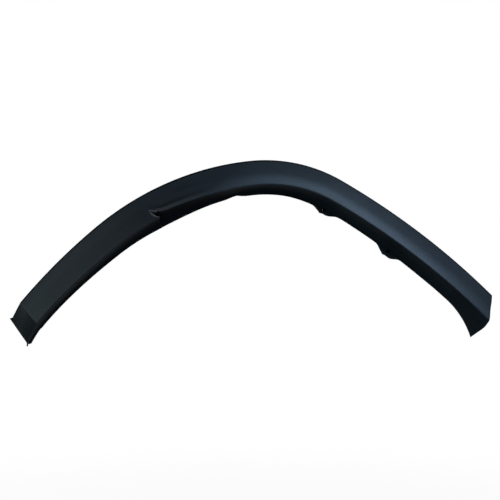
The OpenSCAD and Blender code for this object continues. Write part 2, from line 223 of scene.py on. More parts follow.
@dataclass(frozen=True)
class Outline:
    """The chain of arcs that the outer edge follows, and the body side's curve seen from above."""

    crown_r: float = 306.0
    crown_left_turn: float = 8.4
    crown_right_turn: float = 26.7
    shoulder_r: float = 537.0
    shoulder_turn: float = 33.0
    left_leg_r: float = 1060.0
    left_leg_len: float = 185.0
    end_facet_len: float = 32.0
    right_leg_r: float = 1810.0
    right_leg_len: float = 394.0
    plan_r: float = 2375.0
    plan_apex: float = -42.0

    @property
    def crown_left(self) -> float:
        """Place where the crown's arc ends on the left."""
        return -math.radians(self.crown_left_turn) * self.crown_r

    @property
    def crown_right(self) -> float:
        """Place where the crown's arc ends on the right."""
        return math.radians(self.crown_right_turn) * self.crown_r

    @property
    def left_leg(self) -> float:
        """Place where the left shoulder ends and the left leg starts."""
        return self.crown_left - math.radians(self.shoulder_turn) * self.shoulder_r

    @property
    def fold(self) -> float:
        """Place of the left end's fold."""
        return self.left_leg - self.left_leg_len

    @property
    def left_end(self) -> float:
        """Place of the left end's cut."""
        return self.fold - self.end_facet_len

    @property
    def right_end(self) -> float:
        """Place of the right end's cut."""
        return self.crown_right + self.right_leg_len

    def edge(self, s: float) -> EdgePoint:
        """Gives the point of the outer edge at a place.

        Args:
            s: Place along the trim.

        Returns:
            The point, with the edge's direction there.
        """
        top = EdgePoint(0.0, 0.0, 0.0)
        if s >= 0.0:
            crown = min(s, self.crown_right)
            return top.along_arc(crown, self.crown_r).along_arc(s - crown, self.right_leg_r)
        crown = max(s, self.crown_left)
        shoulder = max(s - crown, self.left_leg - self.crown_left)
        side = top.along_arc(crown, self.crown_r).along_arc(shoulder, self.shoulder_r)
        return side.along_arc(s - crown - shoulder, self.left_leg_r)

    def setback(self, x: float) -> float:
        """Returns how far the body side has curved back at x."""
        return (x - self.plan_apex) ** 2 / (2.0 * self.plan_r)

    def point(self, s: float, n: float, y: float) -> Vector:
        """Gives a point of the trim, seen from the crown's top.

        Args:
            s: Place along the trim.
            n: Width across the trim, from the outer edge.
            y: Depth behind the wing's surface.

        Returns:
            The point.
        """
        e = self.edge(s)
        x = e.x + n * math.sin(e.direction)
        return Vector((x, y + self.setback(x), e.z - n * math.cos(e.direction)))

    def stand(self, s: float, n: float) -> Matrix:
        """Gives the axes that a post behind the face stands on.

        Args:
            s: Place along the trim.
            n: Width across it.

        Returns:
            A matrix with its origin on the wing's surface, X along the trim, Y back and Z outwards.
        """
        step = 1.0
        along = (self.point(s + step, n, 0.0) - self.point(s - step, n, 0.0)).normalized()
        out = self.point(s, n - step, 0.0) - self.point(s, n + step, 0.0)
        out = (out - along * out.dot(along)).normalized()
        axes = Matrix((along, out.cross(along), out)).transposed()
        return Matrix.Translation(self.point(s, n, 0.0)) @ axes.to_4x4()


@dataclass(frozen=True)
class Face:
    """The face between the rim and the crease."""

    rim_h: float = 3.2
    rim_blend_w: float = 25.0
    width_left: float = 48.0
    width_shoulder: float = 52.0
    width_crown: float = 49.5
    width_right: float = 51.0
    crease_h: float = 21.0
    crease_r: float = 3.4
    crown_crease_r: float = 2.6
    right_crease_r: float = 2.0
    inner_r: float = 7.0
    bulge: float = 3.6


@dataclass(frozen=True)
class CutEnds:
    """The folded left end and the cut right end."""

    drop: float = 11.0
    draw_in: float = 7.3
    spur: float = 4.0
    spur_len: float = 5.0
    widening: float = 7.0
    fold_slant: float = 11.0
    left_slant: float = 16.0
    corner_r: float = 6.0
    right_slant: float = 17.0
    right_slant_len: float = 210.0
    cut_hollow: float = 1.3
    cut_jut: float = 1.8
    cut_run: float = 60.0
    hollow_middle: float = 0.58
    hollow_half: float = 0.36


@dataclass(frozen=True)
class Lip:
    """The lip that runs back into the arch, with the flange's step at the crown."""

    depth: float = 35.0
    reach_end: float = 5.0
    reach_left: float = 9.3
    reach_shoulder: float = 15.8
    reach_crown: float = 12.8
    reach_leg: float = 18.2
    reach_curve: float = 2.0
    end_curve: float = 0.5
    flange_start: float = -76.0
    flange_step: float = 3.3
    flange_run: float = 26.0
    flange_curve: float = 2.2
    flange_pull: float = 1.2
    elbow_share: float = 0.3
    elbow_h: float = 1.0


@dataclass(frozen=True)
class Flare:
    """The flare that the lip opens into at the right end."""

    length: float = 92.0
    reach: float = 34.5
    depth: float = 60.0
    band_w: float = 12.0
    band_depth: float = 11.0
    curve: float = 1.9
    lead: float = 0.75
    pull: float = 3.0


@dataclass(frozen=True)
class Notch:
    """The notch in the left shoulder, and the bead and hollow to the right of it."""

    at: float = -258.0
    length: float = 11.0
    depth: float = 20.5
    drop: float = 24.5
    crease_r: float = 1.4
    bead_r: float = 1.9
    bead_step: float = 7.0
    bead_start_len: float = 33.0
    bead_end: float = -108.0
    bead_curve: float = 2.1
    hollow_depth: float = 2.0
    hollow_w: float = 19.0
    hollow_offset: float = 14.0
    gap: float = 0.7
    edge_r: float = 1.8

    @property
    def end(self) -> float:
        """Place of the notch's open end."""
        return self.at + self.length

    @property
    def bead_full(self) -> float:
        """Place where the bead's edge has swung down to its step."""
        return self.at + self.bead_start_len


@dataclass(frozen=True)
class Ear:
    """One screw ear: a bump of the lip's free edge, which the lip may swell towards."""

    at: float
    height: float
    swell: float = 0.0
    length: float = 66.0
    top_len: float = 14.0
    offset: float = 1.5
    swell_len: float = 70.0

    def swelling(self, s: float) -> float:
        """Gives how far the lip swells on the way to the ear.

        Args:
            s: Place along the trim.

        Returns:
            The swelling.
        """
        start = self.at - (self.length - self.top_len) / 2.0
        top_end = self.at + self.top_len
        fall = 1.0 - ease(s, top_end, top_end + self.length / 2.0)
        return self.swell * ramp(s, start - self.swell_len, start) * fall

    def reach(self, s: float) -> float:
        """Gives how far the ear stands past the swollen lip.

        Args:
            s: Place along the trim.

        Returns:
            The reach.
        """
        from_middle = abs(s - self.at - self.offset)
        bump = 1.0 - ease(from_middle, self.top_len / 2.0, self.length / 2.0)
        return (self.height - self.swell) * bump


@dataclass(frozen=True)
class TrimForm:
    """Every size of the moulding, and the laws by which its section changes along the trim."""

    outline: Outline = Outline()
    face: Face = Face()
    ends: CutEnds = CutEnds()
    lip: Lip = Lip()
    flare: Flare = Flare()
    notch: Notch = Notch()
    ears: tuple[Ear, ...] = (Ear(137.0, 9.0, 2.0), Ear(296.0, 10.0))
    wall: float = 2.6
    ear_t: float = 4.0

    def end_fold(self, s: float) -> float:
        """Returns how much of the left end's fold has come at place s."""
        return 1.0 - ramp(s, self.outline.left_end, self.outline.fold)

    def slant(self, s: float) -> float:
        """Gives the section's slant.

        Args:
            s: Place along the trim.

        Returns:
            The slant, as a length for each unit of width.
        """
        o, e, f = self.outline, self.ends, self.face
        if s < o.fold:
            return -mix(e.fold_slant, e.left_slant, self.end_fold(s)) / f.width_left
        if s < 0.0:
            return -e.fold_slant / f.width_left * (1.0 - ease(s, o.fold, o.left_leg))
        return e.right_slant / f.width_right * ease(s, o.right_end - e.right_slant_len, o.right_end)

    def face_width(self, s: float) -> float:
        """Gives the face's width.

        Args:
            s: Place along the trim.

        Returns:
            The width, from the outer edge to the crease.
        """
        o, f, n = self.outline, self.face, self.notch
        width = mix(f.width_left, f.width_shoulder, ease(s, o.fold, o.left_leg))
        width += self.ends.widening * self.end_fold(s)
        width += (f.width_crown - f.width_shoulder) * ease(s, n.bead_full, self.lip.flange_start)
        return width + (f.width_right - f.width_crown) * ease(s, self.ears[0].at, o.right_end)

    def crease_height(self, s: float) -> float:
        """Returns how far the crease stands proud of the wing at place s."""
        return self.face.crease_h - self.ends.drop * self.end_fold(s)

    def draw_in(self, s: float) -> float:
        """Returns how far the outer edge has drawn in at place s."""
        left, e = self.outline.left_end, self.ends
        return e.draw_in * self.end_fold(s) - e.spur * (1.0 - ramp(s, left, left + e.spur_len))

    def bead_edge(self, s: float) -> float:
        """Gives the width at which the bead's edge lies.

        Args:
            s: Place along the trim.

        Returns:
            The width.
        """
        n = self.notch
        step = n.bead_step * (1.0 - ramp(s, n.bead_full, n.bead_end))
        swing = (1.0 - ramp(s, n.at, n.bead_full)) ** n.bead_curve
        return self.face_width(s) - step - (n.depth - n.bead_step) * swing

    def crown_rounding(self, s: float) -> float:
        """Gives the rounding of the crease right of the notch.

        Args:
            s: Place along the trim.

        Returns:
            The radius.
        """
        n, f = self.notch, self.face
        crown = mix(n.bead_r, f.crown_crease_r, ease(s, n.end, n.bead_end))
        return mix(crown, f.right_crease_r, ease(s, self.ears[0].at, self.flare_at))

    def leg_rounding(self, s: float) -> float:
        """Returns the rounding of the crease left of the notch."""
        n = self.notch
        return mix(self.face.crease_r, n.crease_r, ease(s, n.at - n.depth, n.end))

    @property
    def flare_at(self) -> float:
        """Place where the flare starts."""
        return self.outline.right_end - self.flare.length

    def flare_growth(self, s: float) -> float:
        """Returns the share of the flare that has grown at place s."""
        return ramp(s, self.flare_at, self.outline.right_end) ** self.flare.curve

    def ear_line(self, s: float) -> float:
        """Gives the line of the screw holes, which is the lip's edge before it swells.

        Args:
            s: Place along the trim.

        Returns:
            The width at which the line lies.
        """
        o, a, n, first = self.outline, self.lip, self.notch, self.ears[0]
        reach = mix(a.reach_left, a.reach_end, self.end_fold(s) ** a.end_curve)
        reach += (a.reach_shoulder - a.reach_left) * ramp(s, o.fold, n.at) ** a.reach_curve
        reach += (a.reach_crown - a.reach_shoulder) * ease(s, n.bead_full, a.flange_start)
        reach += (a.reach_leg - a.reach_crown) * ramp(s, first.at + first.length / 2.0, self.flare_at)
        reach += (self.flare.reach - a.reach_leg) * self.flare_growth(s)
        to_grow = 1.0 - ramp(s, a.flange_start, a.flange_start + a.flange_run)
        reach -= a.flange_step * ease(s, n.bead_end, a.flange_start) * to_grow**a.flange_curve
        return self.face_width(s) + reach

    def lip_edge(self, s: float) -> float:
        """Returns the width at which the lip's free edge lies, without the ears."""
        return self.ear_line(s) + sum(ear.swelling(s) for ear in self.ears)

    def lip_edge_y(self, s: float) -> float:
        """Gives the depth of the lip's free edge.

        Args:
            s: Place along the trim.

        Returns:
            The depth.
        """
        depth = self.lip.depth - self.ends.drop * self.end_fold(s)
        depth += (self.flare.depth - self.lip.depth) * self.flare_growth(s)
        return depth - self.face.crease_h

    def face_y(self, s: float, n: float) -> float:
        """Gives the depth of the face.

        Args:
            s: Place along the trim.
            n: Width across the trim, from the outer edge.

        Returns:
            The depth, which is below zero where it stands proud.
        """
        t = n / self.face_width(s)
        notch = self.notch
        bulge = self.face.bulge * ease(s, notch.end, self.lip.flange_start)
        slope = self.crease_height(s) * t + 4.0 * bulge * t * (1.0 - t)
        fade = ease(s, notch.at, notch.bead_full) * (1.0 - ease(s, notch.bead_full, notch.bead_end))
        middle = self.bead_edge(s) - notch.hollow_offset
        return notch.hollow_depth * fade * hump((n - middle) / (notch.hollow_w / 2.0)) - slope

    def face_point(self, s: float, n: float) -> Point:
        """Gives a point of the face, eased into the rim's front corner.

        Args:
            s: Place along the trim.
            n: Width across the trim, from the outer edge.

        Returns:
            The point.
        """
        inset = self.draw_in(s) * (1.0 - n / self.face_width(s))
        lift = self.face.rim_h * (1.0 - ramp(n, 0.0, self.face.rim_blend_w)) ** 2
        return (n + inset, self.face_y(s, n) - lift)

    def lip_point(self, s: float, start: Point, t: float) -> Point:
        """Gives a point of the lip.

        Args:
            s: Place along the trim.
            start: Point where the lip starts, at the crease.
            t: Share of the way from there to the lip's free edge.

        Returns:
            The point.
        """
        a, f, o = self.lip, self.flare, self.outline
        edge = (self.lip_edge(s), self.lip_edge_y(s))
        flare = ease(s, self.flare_at - f.lead * f.length, o.right_end)
        flange = ease(s, a.flange_start, a.flange_start + a.flange_run / 2.0)
        elbow = (
            mix(mix(start[0], edge[0], a.elbow_share), start[0] + f.band_w, flare),
            mix(edge[1] - a.elbow_h, start[1] + f.band_depth, flare),
        )
        return bend(start, elbow, edge, t, 1.0 + flange * a.flange_pull + flare * f.pull)

    def corner_cut(self, s: float, n: float) -> float:
        """Returns how far the lip's corner is rounded off at the left end's cut."""
        share = ramp(n, self.face_width(s), self.lip_edge(s))
        return self.ends.corner_r * self.end_fold(s) * share**2

    def right_cut(self, s: float, n: float) -> float:
        """Gives how far the right end's cut departs from a straight one.

        Args:
            s: Place along the trim.
            n: Width across the trim, from the outer edge.

        Returns:
            The length along the trim by which it departs.
        """
        e, w, end = self.ends, self.face_width(s), self.outline.right_end
        jut = e.cut_jut * ease(n, w * e.hollow_middle, w * (1.0 + e.hollow_half))
        hollow = e.cut_hollow * hump((n / w - e.hollow_middle) / e.hollow_half)
        return ease(s, end - e.cut_run, end) * (jut - hollow)

    def seat_depth(self) -> float:
        """Returns the depth of the screw's seat on the upper ear, which is the part's origin."""
        return self.lip_edge_y(self.ears[0].at) - (self.ear_t - self.wall) / 2.0

    def origin(self) -> Vector:
        """Returns the part's origin, seen from the crown's top."""
        ear = self.ears[0].at
        return self.outline.point(ear, self.ear_line(ear), self.seat_depth())

    def place(self, s: float, p: Point) -> Vector:
        """Returns a section's point in the part's own frame, in millimetres."""
        along = s + self.slant(s) * p[0] + self.corner_cut(s, p[0]) + self.right_cut(s, p[0])
        return self.outline.point(along, p[0], p[1]) - self.origin()


class Side(Enum):
    """The two sides of the skin."""

    SHOWN = "shown"
    BACK = "back"


class Slot(Enum):
    """The finishes' slots on the moulding, in order."""

    FACE = 0
    # A darker copy of the face's plastic: painted shade on the lip, the rim's rounding and the screw
    # collars.
    LIP = 1
    BACK = 2
    BORE = 3


def in_slot(bm: bmesh.types.BMesh, slot: Slot) -> bmesh.types.BMesh:
    """Gives all of a mesh's faces one finish.

    Args:
        bm: Mesh that is changed.
        slot: Slot of the finish.

    Returns:
        The mesh.
    """
    for f in bm.faces:
        f.material_index = slot.value
    return bm


@dataclass
class Skin:
    """The moulded skin: face, crease, lip, notch, flare and ears, with an even wall."""

    form: TrimForm
    rim_steps: int = 3
    face_steps: int = 20
    fillet_steps: int = 4
    crease_steps: int = 6
    lip_steps: int = 14
    strip_steps: int = 3
    rim_r: float = 0.9
    edge_r: float = 0.7
    crease_aim: float = 0.12
    notch_skip: float = 0.36
    miter_limit: float = 0.75
    ear_share: float = 0.55
    backing_lead: float = 14.0
    leg_pitch: float = 8.0
    crown_pitch: float = 5.0
    bead_pitch: float = 2.5
    fine_pitch: float = 1.5
    notch_pitch: float = 0.8
    notch_lead: float = 8.0
    step_run: float = 1.0
    fold_run: float = 1.3
    wall_points: int = 2
    shown_crease: int = 5
    crest_half: int = 2
    # Shares of the painted highlight on the left fold's line and on the bead's crest.
    fold_highlight: float = 0.5
    bead_highlight: float = 0.3
    columns: int = field(init=False)
    leg_crease: int = field(init=False)
    crown_crease: int = field(init=False)

    def __post_init__(self) -> None:
        """Counts the points of one section, and those before its crease."""
        self.columns = len(self.shown_section(self.form.outline.fold))
        self.leg_crease = self.columns - 1 - self.lip_steps - self.crease_steps
        self.crown_crease = self.rim_steps + self.face_steps + 1

    def rows(self) -> list[float]:
        """Places the sections, closer together where the shape changes faster.

        Returns:
            The sections' places along the trim.
        """
        form, o, lip, notch = self.form, self.form.outline, self.form.lip, self.form.notch
        flange_end = lip.flange_start + lip.flange_run
        spur_end = o.left_end + form.ends.spur_len
        runs = [
            (o.left_end, spur_end, self.fine_pitch),
            (spur_end, o.fold - self.fold_run, self.crown_pitch),
            (o.fold - self.fold_run, o.fold + self.fold_run, self.fold_run),
            (o.fold + self.fold_run, notch.at - notch.depth, self.leg_pitch),
            (notch.at - notch.depth, notch.at - self.notch_lead, self.bead_pitch),
            (notch.at - self.notch_lead, notch.at, self.notch_pitch),
            (notch.at, notch.end - self.step_run, self.notch_pitch),
            (notch.end - self.step_run, notch.end, self.step_run),
            (notch.end, notch.bead_full, self.fine_pitch),
            (notch.bead_full, notch.bead_end, self.bead_pitch),
            (notch.bead_end, lip.flange_start - self.step_run, self.crown_pitch),
            (lip.flange_start - self.step_run, lip.flange_start, self.step_run),
            (lip.flange_start, flange_end, self.fine_pitch),
        ]
        last = flange_end
        for ear in form.ears:
            start = ear.at + ear.offset - ear.length / 2.0
            runs.append((last, start, self.crown_pitch))
            last = start + ear.length
            runs.append((start, last, self.fine_pitch))
        runs.append((last, form.flare_at, self.leg_pitch))
        runs.append((form.flare_at, o.right_end, self.crown_pitch))
        return [s for run in runs for s in places(*run)] + [o.right_end]

    def crease(self, s: float, width: float, r: float) -> list[Point]:
        """Rounds the crease.

        Args:
            s: Place along the trim.
            width: Width at which the crease lies.
            r: Rounding of the crease.

        Returns:
            The crease's points.
        """
        form = self.form
        corner = form.face_point(s, width)
        start = form.face_point(s, width - r)
        aim = form.lip_point(s, corner, self.crease_aim)
        end = between(corner, aim, r / math.dist(corner, aim))
        steps = self.crease_steps
        return [bend(start, corner, end, i / steps) for i in range(steps + 1)]

    def face_run(self, s: float, edge: float) -> list[Point]:
        """Lays the face's points between the rim's corner and a width.

        Args:
            s: Place along the trim.
            edge: Width at which the run ends.

        Returns:
            The points.
        """
        first = self.rim_r
        steps = self.face_steps
        return [self.form.face_point(s, mix(first, edge, i / (steps + 1.0))) for i in range(1, steps + 1)]

    def lip_run(self, s: float, start: Point, first: float, steps: int) -> list[Point]:
        """Lays the lip's points, stretched outwards where an ear stands.

        Args:
            s: Place along the trim.
            start: Point where the lip starts.
            first: Share of the lip that is left out at its start.
            steps: How many points are laid.

        Returns:
            The points after the start.
        """
        ear = sum(e.reach(s) for e in self.form.ears)
        run = []
        for i in range(1, steps + 1):
            t = mix(first, 1.0, i / steps)
            n, y = self.form.lip_point(s, start, t)
            run.append((n + ear * ease(t, self.ear_share, 1.0), y))
        return run

    def leg_points(self, s: float) -> list[Point]:
        """Lays the section's points left of the notch's open end, after the rim.

        Args:
            s: Place along the trim.

        Returns:
            The points.
        """
        form, notch = self.form, self.form.notch
        t = ramp(s, notch.at, notch.end)
        width, edge, r = form.face_width(s), form.bead_edge(s), form.leg_rounding(s)
        lower_n = min(mix(edge + 2.0 * notch.gap, width, t), width - r - 2.0 * notch.gap)
        floor_n = max(edge + notch.gap, lower_n - notch.gap)
        fillet = mix(notch.gap / 2.0, notch.edge_r, ramp(t, 0.0, 0.5))
        upper = form.face_point(s, edge)
        lower = form.face_point(s, lower_n)
        floor = form.face_point(s, floor_n)
        floor = (floor[0], floor[1] + t * notch.drop)
        strip_n = min(lower_n + fillet, width - r - notch.gap)
        strip = form.face_point(s, strip_n)
        before = form.face_point(s, edge - fillet)
        wall_start = toward(upper, floor, min(fillet, math.dist(upper, floor) / 2.0))
        wall_end = toward(lower, floor, min(fillet, math.dist(lower, floor) / 2.0))
        steps = self.fillet_steps
        points = self.face_run(s, edge - fillet)
        points += [bend(before, upper, wall_start, i / steps) for i in range(steps + 1)]
        points += [between(wall_start, floor, 0.5), floor]
        points += [bend(wall_end, lower, strip, i / steps) for i in range(steps + 1)]
        first = form.face_point(s, width - r)
        points += [between(strip, first, i / self.strip_steps) for i in range(1, self.strip_steps)]
        crease = self.crease(s, width, r)
        return points + crease + self.lip_run(s, crease[-1], 0.0, self.lip_steps)

    def crown_points(self, s: float, edge: float, r: float, count: int) -> list[Point]:
        """Returns the section's points right of the notch, after the rim.

        Args:
            s: Place along the trim.
            edge: Width at which the crease lies.
            r: Rounding of the crease.
            count: How many points the section has after its rim.

        Returns:
            The points.
        """
        notch = self.form.notch
        points = self.face_run(s, edge - r) + self.crease(s, edge, r)
        first = self.notch_skip * (1.0 - ease(s, notch.end, notch.bead_full))
        start = points[-1]
        return points + self.lip_run(s, start, first if s >= notch.end else 0.0, count - len(points))

    def shown_section(self, s: float) -> list[Point]:
        """Lays the shown side's points at one place.

        Args:
            s: Place along the trim.

        Returns:
            The points, from the rim to the lip's edge.
        """
        form = self.form
        draw, rim = form.draw_in(s), form.face.rim_h
        corner, start = (draw, -rim), form.face_point(s, self.rim_r)
        points = [(draw, 0.0)]
        steps = self.rim_steps - 1
        points += [bend((draw, self.rim_r - rim), corner, start, i / steps) for i in range(steps + 1)]
        leg = self.leg_points(min(s, form.notch.end))
        if s < form.notch.end:
            return points + leg
        return points + self.crown_points(s, form.bead_edge(s), form.crown_rounding(s), len(leg))

    def back_section(self, s: float) -> list[Point]:
        """Lays the back's points, a wall's thickness behind the shown side.

        Args:
            s: Place along the trim.

        Returns:
            The points, from the rim to the lip's edge.
        """
        form, notch = self.form, self.form.notch
        draw = form.draw_in(s)
        swing = ease(s, notch.at - form.wall - self.backing_lead, notch.at - form.wall)
        edge = mix(form.face_width(s), form.bead_edge(s), swing)
        count = self.columns - self.rim_steps - 1
        points = [(draw, 0.0), (draw, -form.face.rim_h)]
        points += self.crown_points(s, edge, form.face.inner_r, count)
        points = self.inset(points, form.wall)
        rim = [between(points[0], points[1], i / self.rim_steps) for i in range(self.rim_steps + 1)]
        return rim + points[2:]

    def inset(self, points: Sequence[Point], depth: float) -> list[Point]:
        """Moves a section's points square to it.

        Args:
            points: The section's points.
            depth: How far they move.

        Returns:
            The moved points.
        """
        steps = [Vector(b) - Vector(a) for a, b in zip(points, points[1:])]
        steps = [step.normalized() for step in steps]
        moved = []
        for i, p in enumerate(points):
            before, after = steps[max(0, i - 1)], steps[min(len(steps) - 1, i)]
            along = (before + after).normalized()
            length = depth / max(self.miter_limit, along.dot(after))
            moved.append((p[0] - along.y * length, p[1] + along.x * length))
        return moved

    def slot(self, s: float, column: int) -> Slot:
        """Chooses the finish of a facet of the shown side: the rim's rounding and the lip take the darker
        lip finish, which is painted shade.

        Args:
            s: Place along the trim.
            column: Point of the section where the facet starts.

        Returns:
            The slot of the finish.
        """
        first = self.crown_crease if s >= self.form.notch.end else self.leg_crease
        # The rim's rounding and the lip get painted shade.
        painted_shade = column <= self.rim_steps or column >= first + self.shown_crease
        return Slot.LIP if painted_shade else Slot.FACE

    def rubbed(self, s: float, column: int) -> float:
        """Returns how far a pale highlight is painted on the shown side's edges, from 0 to 1.

        Args:
            s: Place along the trim.
            column: Point of the section.

        Returns:
            The share of the painted highlight's colour.
        """
        notch, fold = self.form.notch, self.form.outline.fold
        if abs(s - fold) < self.fold_run / 2.0 and self.rim_steps < column < self.leg_crease:
            return self.fold_highlight
        if s > notch.end:
            fading = 1.0 - ease(s, notch.bead_full, notch.bead_end)
            return self.bead_highlight * fading if abs(column - self.crown_crease) <= self.crest_half else 0.0
        steps, upper = self.fillet_steps, self.crown_crease
        lower = upper + steps + 1 + self.wall_points
        on_edge = upper <= column <= upper + steps or lower <= column <= lower + steps + 1
        return ease(s, notch.at - self.fine_pitch, notch.at) if on_edge else 0.0

    def add_side(
        self, bm: bmesh.types.BMesh, side: Side, rows: Sequence[float],
    ) -> list[bmesh.types.BMEdge]:
        """Bends a flat grid over one side of the skin.

        Args:
            bm: Mesh that the side is added to.
            side: Which side it is.
            rows: Places of the sections.

        Returns:
            The edges round the side.
        """
        section = self.shown_section if side is Side.SHOWN else self.back_section
        columns, count = self.columns, len(rows)
        highlight_paint = bm.verts.layers.float.get(HIGHLIGHT_ATTRIBUTE) or bm.verts.layers.float.new(HIGHLIGHT_ATTRIBUTE)
        grid = bmesh.ops.create_grid(bm, x_segments=columns - 1, y_segments=count - 1, size=1.0)
        sections = [section(s) for s in rows]
        place_of = {}
        for v in grid["verts"]:
            column = round((v.co.x + 1.0) / 2.0 * (columns - 1))
            row = round((v.co.y + 1.0) / 2.0 * (count - 1))
            place_of[v] = (column, row)
            # The shown side's vertices carry a painted highlight share.
            if side is Side.SHOWN:
                v[highlight_paint] = self.rubbed(rows[row], column)
            v.co = self.form.place(rows[row], sections[row][column])
        faces = list({f for v in grid["verts"] for f in v.link_faces})
        for f in faces:
            column = min(place_of[v][0] for v in f.verts)
            s = rows[min(place_of[v][1] for v in f.verts)]
            f.material_index = (self.slot(s, column) if side is Side.SHOWN else Slot.BACK).value
        if side is Side.BACK:
            bmesh.ops.reverse_faces(bm, faces=faces)
        return list({e for f in faces for e in f.edges if e.is_boundary})

    def build(self) -> bmesh.types.BMesh:
        """Makes the closed skin, with its free edges rounded.

        Returns:
            The skin, in millimetres.
        """
        bm = bmesh.new()
        rows = self.rows()
        rims = [self.add_side(bm, side, rows) for side in Side]
        borders = rims[0] + rims[1]
        bmesh.ops.bridge_loops(bm, edges=borders)
        bmesh.ops.recalc_face_normals(bm, faces=bm.faces[:])
        round_edges(bm, borders, self.edge_r)
        return bm


@dataclass(frozen=True)
class ScrewCollar:
    """The seat and the collar round one screw hole, sized by the part's own mount."""

    hole_r: float
    length: float
    at: Vector
    seat_r: float = 6.0
    seat_t: float = 3.4
    collar_r: float = 5.5
    chamfer: float = 0.4
    cut: float = 1.0
    weld: float = 0.01
    facets: int = 64

    def turned(self, profile: Sequence[Point]) -> bmesh.types.BMesh:
        """Turns a closed outline about the screw's axis.

        Args:
            profile: Points of the outline, as radius and depth.

        Returns:
            The turned solid, on the screw's axis.
        """
        bm = bmesh.new()
        verts = [bm.verts.new((r, y, 0.0)) for r, y in profile]
        edges = [bm.edges.new(pair) for pair in zip(verts, verts[1:])]
        bmesh.ops.spin(
            bm,
            geom=verts + edges,
            cent=(0.0, 0.0, 0.0),
            axis=(0.0, 1.0, 0.0),
            angle=math.tau,
            steps=self.facets,
            use_merge=True,
        )
        bmesh.ops.remove_doubles(bm, verts=bm.verts[:], dist=self.weld)
        bmesh.ops.recalc_face_normals(bm, faces=bm.faces[:])
        bmesh.ops.translate(bm, verts=bm.verts[:], vec=self.at)
        return bm

    def body(self) -> bmesh.types.BMesh:
        """Returns the seat and the collar as one turned solid."""
        c, end = self.chamfer, self.length
        return self.turned([
            (0.0, 0.0), (self.seat_r - c, 0.0), (self.seat_r, c), (self.seat_r, self.seat_t),
            (self.collar_r, self.seat_t + c), (self.collar_r, end - c), (self.collar_r - c, end),
            (0.0, end),
        ])

    def bore(self) -> bmesh.types.BMesh:
        """Makes the solid that cuts the screw's hole, with its mouths eased.

        Returns:
            The solid, in millimetres.
        """
        c, r, end = self.chamfer, self.hole_r, self.length
        wide = r + c + self.cut
        return self.turned([
            (0.0, -self.cut), (wide, -self.cut), (r, c), (r, end - c), (wide, end + self.cut),
            (0.0, end + self.cut),
        ])


@dataclass(frozen=True)
class ClipPosts:
    """The posts behind the face: a blade with a cross rib at each end, which takes a push-on clip."""

    form: TrimForm
    first_at: float = -500.0
    pitch: float = 120.0
    length: float = 20.0
    width: float = 14.0
    rib: float = 2.4
    inset: float = 29.0
    clearance: float = 1.0
    edge_r: float = 0.4

    def places(self) -> list[float]:
        """Places the posts, clear of the notch and short of the flare.

        Returns:
            The posts' places along the trim.
        """
        form, notch = self.form, self.form.notch
        end = form.flare_at + form.flare.length / 2.0
        count = math.floor((end - self.first_at) / self.pitch) + 1
        row = [self.first_at + i * self.pitch for i in range(count)]
        return [s for s in row if abs(s - notch.at) > notch.bead_start_len + self.length]

    def add_rib(self, bm: bmesh.types.BMesh, s: float, x: float, length: float, width: float) -> None:
        """Adds one rib of a post, with its foot in the face's wall.

        Args:
            bm: Mesh that the rib is added to.
            s: Place of the post.
            x: Where the rib's middle lies along the post.
            length: Length of the rib along the trim.
            width: Width of the rib across the trim.
        """
        cube = bmesh.ops.create_cube(bm, size=1.0)["verts"]
        for v in cube:
            n = -v.co.z * width
            foot = self.form.face_y(s, self.inset + n) + self.form.wall / 2.0
            v.co = (x + v.co.x * length, -self.clearance if v.co.y > 0.0 else foot, -n)
        edges = list({e for v in cube for e in v.link_edges})
        round_edges(bm, edges, self.edge_r)

    def solids(self) -> list[bmesh.types.BMesh]:
        """Makes the ribs of every post.

        Returns:
            The ribs, each in a mesh of its own, in millimetres.
        """
        end = (self.length - self.rib) / 2.0
        ribs = [(0.0, self.length, self.rib), (-end, self.rib, self.width), (end, self.rib, self.width)]
        made = []
        for s in self.places():
            stand = Matrix.Translation(-self.form.origin()) @ self.form.outline.stand(s, self.inset)
            for x, length, width in ribs:
                bm = bmesh.new()
                self.add_rib(bm, s, x, length, width)
                bmesh.ops.transform(bm, matrix=stand, verts=bm.verts[:])
                made.append(bm)
        return made


@dataclass(frozen=True)
class EndPeg:
    """The locating peg under the left end's cut."""

    form: TrimForm
    diameter: float = 2.6
    length: float = 4.5
    rounding: float = 0.125
    facets: int = 32

    def solid(self) -> bmesh.types.BMesh:
        """Makes the peg, with its head in the wall.

        Returns:
            The peg, in millimetres.
        """
        form = self.form
        left = form.outline.left_end
        n = form.face_width(left)
        bm = bmesh.new()
        height = self.length + 2.0 * form.wall
        bmesh.ops.create_cone(
            bm, cap_ends=True, segments=self.facets, radius1=self.diameter / 2.0,
            radius2=self.diameter / 2.0, depth=height,
        )
        rims = [e for e in bm.edges if abs(e.verts[0].co.z - e.verts[1].co.z) < form.wall]
        round_edges(bm, rims, self.diameter * self.rounding)
        corner = form.outline.point(left + form.slant(left) * n, n, form.face_y(left, n) + form.wall)
        middle = corner - form.origin() + Vector((0.0, 0.0, height / 2.0 - self.length))
        bmesh.ops.translate(bm, verts=bm.verts[:], vec=middle)
        return bm


class Joining(Enum):
    """How a solid is joined to the skin."""

    ADD = "UNION"
    CUT = "DIFFERENCE"


